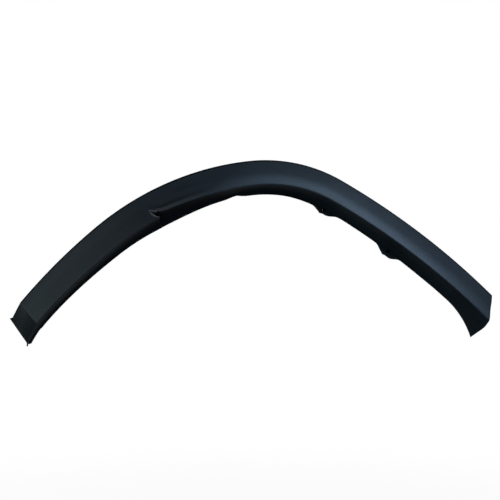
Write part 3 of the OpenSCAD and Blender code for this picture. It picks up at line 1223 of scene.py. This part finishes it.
@dataclass
class ArchTrim:
    """The whole moulding: the skin with its collars, posts and peg, in one closed mesh."""

    form: TrimForm
    finishes: Sequence[bpy.types.Material]
    sharp_angle: float = 33.0

    def collars(self) -> list[ScrewCollar]:
        """Returns a collar for each bore that the part's record states."""
        bores = [m for m in frame["record"]["mounts"] if m["kind"] == "bore"]
        return [
            ScrewCollar(m["dims"]["r_mm"], m["dims"]["length_mm"], Vector(m["pos_m"]) / MM)
            for m in bores
        ]

    def mesh_object(self, name: str, bm: bmesh.types.BMesh) -> bpy.types.Object:
        """Turns a mesh in millimetres into an object in metres, and frees it."""
        bmesh.ops.scale(bm, vec=(MM, MM, MM), verts=bm.verts[:])
        return add_mesh(name, bm, self.finishes)

    def join(self, target: bpy.types.Object, solids: Iterable[bmesh.types.BMesh], how: Joining) -> None:
        """Joins solids to the target's mesh.

        Args:
            target: Object whose mesh changes.
            solids: Closed meshes, in millimetres.
            how: Whether they are added or cut.
        """
        tools = bpy.data.collections.new("joining")
        for bm in solids:
            tool = self.mesh_object("joining_tool", bm)
            bpy.context.scene.collection.objects.unlink(tool)
            tools.objects.link(tool)
        modifier = target.modifiers.new("joining", "BOOLEAN")
        modifier.operation = how.value
        modifier.operand_type = "COLLECTION"
        modifier.collection = tools
        modifier.solver = "EXACT"
        bpy.context.scene.collection.children.link(tools)
        bpy.context.view_layer.update()
        evaluated = target.evaluated_get(bpy.context.evaluated_depsgraph_get())
        joined = bpy.data.meshes.new_from_object(evaluated)
        target.modifiers.clear()
        old = target.data
        target.data = joined
        bpy.data.meshes.remove(old)
        for tool in list(tools.objects):
            mesh = tool.data
            bpy.data.objects.remove(tool)
            bpy.data.meshes.remove(mesh)
        bpy.data.collections.remove(tools)

    def build(self) -> bpy.types.Object:
        """Makes the finished moulding, riding on the frame in place of its solid.

        Returns:
            The moulding.
        """
        trim = self.mesh_object("moulded_trim", Skin(self.form).build())
        log.info("skin: %d faces", len(trim.data.polygons))
        collars = self.collars()
        posts = [*ClipPosts(self.form).solids(), EndPeg(self.form).solid()]
        solids = [in_slot(post, Slot.BACK) for post in posts]
        # The collars take the lip's darker finish, which is painted shade.
        solids += [in_slot(collar.body(), Slot.LIP) for collar in collars]
        self.join(trim, solids, Joining.ADD)
        self.join(trim, [in_slot(collar.bore(), Slot.BORE) for collar in collars], Joining.CUT)
        trim.data.name = "moulded_trim"
        trim.data.polygons.foreach_set("use_smooth", [True] * len(trim.data.polygons))
        trim.data.set_sharp_from_angle(angle=math.radians(self.sharp_angle))
        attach(trim, BODY)
        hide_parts(NODE)
        log.info("moulded trim: %d faces, %d collars", len(trim.data.polygons), len(collars))
        return trim


@dataclass
class NodeBoard:
    """A node tree with short calls to add nodes and join them."""

    tree: bpy.types.NodeTree

    def add(self, kind: str, **settings: object) -> bpy.types.Node:
        """Adds a node.

        Args:
            kind: Type of the node.
            settings: Its settings, by name.

        Returns:
            The node.
        """
        node = self.tree.nodes.new(kind)
        for name, value in settings.items():
            setattr(node, name, value)
        return node

    def feed(self, node: bpy.types.Node, **sources: object) -> bpy.types.Node:
        """Sets a node's inputs.

        Args:
            node: Node that is fed.
            sources: Input names, with spaces as underscores, or in0, in1 and so on by number, and the
                socket or value for each.

        Returns:
            The node.
        """
        for name, source in sources.items():
            by_number = name.startswith("in") and name[2:].isdigit()
            socket = node.inputs[int(name[2:]) if by_number else name.replace("_", " ")]
            if isinstance(source, bpy.types.NodeSocket):
                self.tree.links.new(source, socket)
            else:
                socket.default_value = source
        return node

    def maths(self, operation: str, *terms: object) -> bpy.types.NodeSocket:
        """Returns the result of a sum on values or sockets."""
        node = self.add("ShaderNodeMath", operation=operation)
        return self.feed(node, **{f"in{i}": term for i, term in enumerate(terms)}).outputs[0]

    def here(self) -> bpy.types.NodeSocket:
        """Returns the place on the part, in metres."""
        return self.add("ShaderNodeTexCoord").outputs["Object"]

    def noise(self, place: bpy.types.NodeSocket, **values: object) -> bpy.types.NodeSocket:
        """Returns soft noise at a place, with its scale and detail by name."""
        return self.feed(self.add("ShaderNodeTexNoise"), Vector=place, **values).outputs["Fac"]

    def blend(self, share: object, first: object, second: object) -> bpy.types.NodeSocket:
        """Gives a mixture of two colours.

        Args:
            share: How much of the second colour shows.
            first: Colour or socket.
            second: Colour or socket.

        Returns:
            The mixed colour.
        """
        node = self.add("ShaderNodeMix", data_type="RGBA")
        return self.feed(node, Factor=share, in6=first, in7=second).outputs[2]

    def clamped(self, value: bpy.types.NodeSocket) -> bpy.types.NodeSocket:
        """Returns a sum's result, held between 0 and 1."""
        value.node.use_clamp = True
        return value

    def smooth_range(self, value: object, **limits: object) -> bpy.types.NodeSocket:
        """Returns a value carried smoothly from one range to another, with the limits by name."""
        node = self.add("ShaderNodeMapRange", interpolation_type="SMOOTHSTEP")
        return self.feed(node, Value=value, **limits).outputs["Result"]


def new_group(name: str, inputs: dict[str, float], outputs: dict[str, str]) -> NodeBoard:
    """Starts a shader node group.

    Args:
        name: Name of the group.
        inputs: Number sockets that it takes, and their default values.
        outputs: Sockets that it gives, and their types.

    Returns:
        A board on the group's tree, with its input and output nodes made.
    """
    tree = bpy.data.node_groups.new(name, "ShaderNodeTree")
    for socket, value in inputs.items():
        made = tree.interface.new_socket(socket, in_out="INPUT", socket_type="NodeSocketFloat")
        made.default_value = value
    for socket, kind in outputs.items():
        tree.interface.new_socket(socket, in_out="OUTPUT", socket_type=kind)
    tree.nodes.new("NodeGroupInput")
    tree.nodes.new("NodeGroupOutput")
    return NodeBoard(tree)


@dataclass
class Effects:
    """Surface effects that several finishes share, each a node group that is built once."""

    cell_softness: float = 0.7
    cell_share: float = 0.7
    fine_ratio: float = 1.7
    streak_stretch: float = 0.12
    streak_level: float = 0.75
    streak_contrast: float = 4.0
    grain: bpy.types.NodeTree = field(init=False)
    clouds: bpy.types.NodeTree = field(init=False)
    scuffs: bpy.types.NodeTree = field(init=False)

    def __post_init__(self) -> None:
        """Builds the groups."""
        self.grain = self.build_grain()
        self.clouds = self.build_clouds()
        self.scuffs = self.build_scuffs()

    def build_grain(self) -> bpy.types.NodeTree:
        """Gives the etched grain of the mould: small cells that run into each other.

        Returns:
            The group's tree, with the grain's height as its output.
        """
        board = new_group("etched_grain", {"Size": 0.6}, {"Height": "NodeSocketFloat"})
        nodes = board.tree.nodes
        here = board.here()
        scale = board.maths("DIVIDE", 1.0 / MM, nodes["Group Input"].outputs["Size"])
        cells = board.add("ShaderNodeTexVoronoi", feature="SMOOTH_F1")
        board.feed(cells, Vector=here, Scale=scale, Smoothness=self.cell_softness)
        fine = board.noise(here, Scale=board.maths("MULTIPLY", scale, self.fine_ratio), Detail=3.0)
        height = board.maths("MULTIPLY_ADD", cells.outputs["Distance"], self.cell_share, fine)
        board.feed(nodes["Group Output"], Height=height)
        return board.tree

    def build_clouds(self) -> bpy.types.NodeTree:
        """Gives soft, uneven patches.

        Returns:
            The group's tree, with a mask from 0 to 1 as its output.
        """
        board = new_group("soft_clouds", {"Size": 80.0, "Contrast": 1.0}, {"Mask": "NodeSocketFloat"})
        nodes = board.tree.nodes
        given = nodes["Group Input"].outputs
        scale = board.maths("DIVIDE", 1.0 / MM, given["Size"])
        noise = board.noise(board.here(), Scale=scale, Detail=4.0, Roughness=0.55)
        spread = board.maths("MULTIPLY", board.maths("SUBTRACT", noise, 0.5), given["Contrast"])
        board.feed(nodes["Group Output"], Mask=board.clamped(board.maths("ADD", spread, 0.5)))
        return board.tree

    def build_scuffs(self) -> bpy.types.NodeTree:
        """Gives fine scuffed streaks that lie along the trim.

        Returns:
            The group's tree, with a mask from 0 to 1 as its output.
        """
        board = new_group("rubbed_streaks", {"Size": 6.0, "Amount": 0.3}, {"Mask": "NodeSocketFloat"})
        nodes = board.tree.nodes
        given = nodes["Group Input"].outputs
        stretched = board.add("ShaderNodeMapping")
        board.feed(stretched, Vector=board.here(), Scale=(self.streak_stretch, 1.0, 1.0))
        scale = board.maths("DIVIDE", 1.0 / MM, given["Size"])
        noise = board.noise(stretched.outputs[0], Scale=scale, Detail=5.0, Roughness=0.7)
        clean = board.maths("SUBTRACT", 1.0, given["Amount"])
        above = board.maths("SUBTRACT", noise, board.maths("MULTIPLY", clean, self.streak_level))
        mask = board.clamped(board.maths("MULTIPLY", above, self.streak_contrast))
        board.feed(nodes["Group Output"], Mask=mask)
        return board.tree


@dataclass(frozen=True)
class Moulding:
    """Black moulded plastic, as it comes out of an etched or a plain mould, with painted highlights and
    painted light where its settings ask for them.
    """

    name: str
    fresh: Colour
    faded: Colour
    roughness: float
    grain_size: float
    grain_depth: float
    patch_size: float
    rubbing: float
    specular: float
    sheen_tint: Colour = (0.66, 0.88, 1.0)
    # Pale colour that is painted on edges as a highlight, mixed in by the vertex attribute.
    rubbed: Colour = (0.062, 0.068, 0.07)
    # How many times paler the colour is painted at the right end: painted light.
    right_painted_light: float = 1.0
    lift_from: float = -0.25
    lift_to: float = 0.1
    patch_contrast: float = 1.6
    patch_fade: float = 0.8
    patch_gloss: float = 0.1
    streak_size: float = 9.0
    streak_fade: float = 0.35

    def lifted(self, board: NodeBoard, colour: bpy.types.NodeSocket) -> bpy.types.NodeSocket:
        """Gives a colour that is painted paler on the trim's right half, as painted light.

        Args:
            board: Board of the material.
            colour: Colour on the left.

        Returns:
            The colour all along the trim.
        """
        parts = board.feed(board.add("ShaderNodeSeparateXYZ"), Vector=board.here())
        lift = board.smooth_range(
            parts.outputs["X"], From_Min=self.lift_from, From_Max=self.lift_to, To_Min=1.0,
            To_Max=self.right_painted_light,
        )
        paler = board.add("ShaderNodeVectorMath", operation="SCALE")
        return board.feed(paler, in0=colour, Scale=lift).outputs["Vector"]

    def material(self, effects: Effects) -> bpy.types.Material:
        """Builds the material.

        Args:
            effects: The shared surface effects.

        Returns:
            The material.
        """
        material = bpy.data.materials.new(self.name)
        material.use_nodes = True
        board = NodeBoard(material.node_tree)
        grain = board.feed(board.add("ShaderNodeGroup", node_tree=effects.grain), Size=self.grain_size)
        clouds = board.add("ShaderNodeGroup", node_tree=effects.clouds)
        board.feed(clouds, Size=self.patch_size, Contrast=self.patch_contrast)
        patches = clouds.outputs["Mask"]
        streaks = board.add("ShaderNodeGroup", node_tree=effects.scuffs)
        board.feed(streaks, Size=self.streak_size, Amount=self.rubbing)
        fade = board.maths(
            "MULTIPLY_ADD", streaks.outputs["Mask"], self.streak_fade,
            board.maths("MULTIPLY", patches, self.patch_fade),
        )
        colour = board.blend(fade, (*self.fresh, 1.0), (*self.faded, 1.0))
        if self.right_painted_light != 1.0:
            colour = self.lifted(board, colour)
        # Mixes in the pale colour where the vertex attribute paints a highlight.
        highlight_paint = board.add("ShaderNodeAttribute", attribute_name=HIGHLIGHT_ATTRIBUTE, attribute_type="GEOMETRY")
        bump = board.add("ShaderNodeBump")
        board.feed(bump, Strength=1.0, Distance=self.grain_depth * MM, Height=grain.outputs["Height"])
        even = self.roughness - self.patch_gloss / 2.0
        board.feed(
            board.tree.nodes["Principled BSDF"],
            Base_Color=board.blend(highlight_paint.outputs["Fac"], colour, (*self.rubbed, 1.0)),
            Roughness=board.maths("MULTIPLY_ADD", patches, self.patch_gloss, even),
            Normal=bump.outputs["Normal"],
            Specular_IOR_Level=self.specular,
            Specular_Tint=(*self.sheen_tint, 1.0),
        )
        return material


FINISHES = {
    Slot.FACE: Moulding(
        "grained_black_moulding", fresh=(0.006, 0.0085, 0.0105), faded=(0.009, 0.012, 0.014),
        roughness=0.4, grain_size=0.7, grain_depth=0.01, patch_size=90.0, rubbing=0.35, specular=0.28,
    ),
    # The face's plastic made darker: painted shade.
    Slot.LIP: Moulding(
        "dull_black_lip", fresh=(0.0017, 0.0029, 0.0038), faded=(0.0028, 0.0044, 0.0055),
        roughness=0.5, grain_size=1.4, grain_depth=0.01, patch_size=60.0, rubbing=0.2, specular=0.03,
        # Paints the lip 4.2 times paler on the right half, as painted light.
        right_painted_light=4.2,
    ),
    Slot.BACK: Moulding(
        "plain_black_moulding", fresh=(0.014, 0.016, 0.018), faded=(0.022, 0.024, 0.026),
        roughness=0.4, grain_size=2.4, grain_depth=0.02, patch_size=40.0, rubbing=0.2, specular=0.5,
    ),
    # Near-black walls in the screw holes, darker than the plastic: painted shade.
    Slot.BORE: Moulding(
        "shaded_bore", fresh=(0.0007, 0.0009, 0.001), faded=(0.0012, 0.0015, 0.0016),
        roughness=0.9, grain_size=1.4, grain_depth=0.01, patch_size=10.0, rubbing=0.1, specular=0.0,
    ),
}


def direction(azimuth: float, elevation: float) -> Vector:
    """Returns the unit vector from the trim to a viewer, with azimuth 0 in front of its face."""
    a, e = math.radians(azimuth), math.radians(elevation)
    return Vector((math.sin(a) * math.cos(e), -math.cos(a) * math.cos(e), math.sin(e)))


def stand_off(obj: bpy.types.Object, target: Vector, toward_viewer: Vector, distance: float) -> None:
    """Puts a camera or a lamp at a distance from the target, and turns it to face it.

    Args:
        obj: Camera or lamp.
        target: Point that it looks at, in metres.
        toward_viewer: Unit vector from the target to it.
        distance: How far away it stands, in metres.
    """
    obj.location = target + toward_viewer * distance
    obj.rotation_euler = (target - obj.location).to_track_quat("-Z", "Y").to_euler()


@dataclass(frozen=True)
class Softbox:
    """A soft studio lamp that looks at the trim."""

    name: str
    azimuth: float
    elevation: float
    distance: float
    width: float
    height: float
    power: float
    tint: Colour = (1.0, 1.0, 1.0)

    def add(self, target: Vector) -> None:
        """Adds the lamp to the scene.

        Args:
            target: Point that the lamp is turned to, in metres.
        """
        lamp = bpy.data.lights.new(self.name, "AREA")
        lamp.shape = "RECTANGLE"
        lamp.size, lamp.size_y = self.width, self.height
        lamp.energy = self.power
        lamp.color = self.tint
        obj = add_object(self.name, lamp)
        stand_off(obj, target, direction(self.azimuth, self.elevation), self.distance)


@dataclass
class Studio:
    """The camera, the lamps, the pale floor and the white surroundings."""

    form: TrimForm
    azimuth: float = -12.0
    elevation: float = -5.0
    distance: float = 1.52
    focal_px: float = 828.387
    frame_px: float = 500.0
    target_mm: tuple[float, float, float] = (-42.19, 0.0, -168.32)
    floor_gap: float = 0.45
    floor_radius: float = 3.0
    floor_facets: int = 96
    floor_colour: Colour = (0.35, 0.35, 0.35)
    floor_roughness: float = 0.9
    floor_glow: float = 0.94
    white_from: float = 0.8
    white_to: float = 2.0
    ambient: float = 0.06
    sheen_share: float = 0.04
    lamps: tuple[Softbox, ...] = (
        Softbox("key_softbox", 50.0, 21.0, 2.2, 0.75, 1.3, 27.5, (0.72, 0.8, 1.0)),
        Softbox("front_softbox", 32.0, 30.0, 2.2, 0.75, 1.1, 9.4, (0.78, 0.84, 1.0)),
        Softbox("high_softbox", 14.0, 36.0, 2.2, 0.75, 1.1, 10.5, (0.66, 0.8, 1.0)),
        Softbox("right_softbox", 70.0, 14.0, 2.2, 0.75, 0.75, 3.2, (0.58, 0.74, 1.0)),
        Softbox("left_softbox", -44.0, 21.0, 2.2, 0.75, 1.1, 4.8, (1.0, 0.95, 0.92)),
        Softbox("side_softbox", -66.0, 14.0, 2.2, 0.75, 0.75, 4.8, (1.0, 0.99, 0.9)),
        Softbox("back_softbox", 150.0, 40.0, 2.2, 1.2, 1.2, 22.0),
        Softbox("back_fill", -150.0, 15.0, 2.2, 1.0, 1.2, 22.0),
    )

    @property
    def target(self) -> Vector:
        """The point that the camera looks at, in the part's frame, in metres."""
        return (Vector(self.target_mm) - self.form.origin()) * MM

    def add_camera(self) -> None:
        """Adds the camera at the photograph's viewing angle."""
        data = bpy.data.cameras.new("camera")
        data.sensor_fit = "HORIZONTAL"
        data.lens = data.sensor_width * self.focal_px / self.frame_px
        camera = add_object("camera", data)
        stand_off(camera, self.target, direction(self.azimuth, self.elevation), self.distance)
        bpy.context.scene.camera = camera

    def add_floor(self, lowest: float) -> None:
        """Adds the pale floor.

        Args:
            lowest: Height of the trim's lowest point, in metres.
        """
        bm = bmesh.new()
        bmesh.ops.create_circle(bm, cap_ends=True, segments=self.floor_facets, radius=self.floor_radius)
        centre = Vector((self.target.x, self.target.y, lowest - self.floor_gap))
        bmesh.ops.translate(bm, verts=bm.verts[:], vec=centre)
        add_mesh("floor", bm, [self.floor_material(centre)])

    def floor_material(self, centre: Vector) -> bpy.types.Material:
        """Gives the finish of a floor that takes a soft shadow near its centre and runs out into white.

        Args:
            centre: Middle of the floor, in metres.

        Returns:
            The material.
        """
        material = bpy.data.materials.new("pale_floor")
        material.use_nodes = True
        board = NodeBoard(material.node_tree)
        nodes = board.tree.nodes
        matt = board.feed(
            nodes["Principled BSDF"], Base_Color=(*self.floor_colour, 1.0), Roughness=self.floor_roughness,
        )
        glow = board.feed(board.add("ShaderNodeEmission"), Color=WHITE, Strength=1.0)
        away = board.add("ShaderNodeVectorMath", operation="DISTANCE")
        board.feed(away, in0=board.here(), in1=centre)
        glow_share = board.smooth_range(
            away.outputs["Value"], From_Min=self.white_from, From_Max=self.white_to,
            To_Min=self.floor_glow, To_Max=1.0,
        )
        share = board.maths("MULTIPLY", self.white_share(board), glow_share)
        both = board.add("ShaderNodeMixShader")
        board.feed(both, in0=share, in1=matt.outputs[0], in2=glow.outputs[0])
        board.feed(nodes["Material Output"], Surface=both.outputs[0])
        return material

    def white_share(self, board: NodeBoard) -> bpy.types.NodeSocket:
        """Gives how white the background is: white to the eye, and dimmer in the trim's sheen.

        Args:
            board: Board of the floor's material or of the world.

        Returns:
            The share of white, from 0 to 1.
        """
        path = board.add("ShaderNodeLightPath").outputs
        seen = board.maths("MAXIMUM", path["Is Camera Ray"], path["Is Transmission Ray"])
        sheen = board.maths("MULTIPLY", path["Is Glossy Ray"], self.sheen_share)
        return board.maths("MAXIMUM", seen, sheen)

    def add_world(self) -> None:
        """Makes the surroundings white to the camera and dim to the trim."""
        world = bpy.data.worlds.new("white_surroundings")
        bpy.context.scene.world = world
        world.use_nodes = True
        board = NodeBoard(world.node_tree)
        sheen = board.add("ShaderNodeLightPath").outputs["Is Glossy Ray"]
        even = board.maths("MULTIPLY", board.maths("SUBTRACT", 1.0, sheen), self.ambient)
        level = board.maths("MAXIMUM", self.white_share(board), even)
        board.feed(board.tree.nodes["Background"], Color=WHITE, Strength=level)

    def build(self) -> None:
        """Sets up the whole studio round the trim."""
        lowest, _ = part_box(NODE)
        self.add_camera()
        self.add_floor(lowest.z)
        self.add_world()
        for lamp in self.lamps:
            lamp.add(self.target)
        bpy.context.scene.view_settings.view_transform = "Standard"
        log.info("studio: camera, floor and %d lamps", len(self.lamps))


def main() -> None:
    """Builds the studio and the trim."""
    logging.basicConfig(level=logging.INFO, format="%(name)s: %(message)s")
    form = TrimForm()
    effects = Effects()
    finishes = [FINISHES[slot].material(effects) for slot in Slot]
    Studio(form).build()
    ArchTrim(form, finishes).build()


if __name__ == "__main__":
    main()
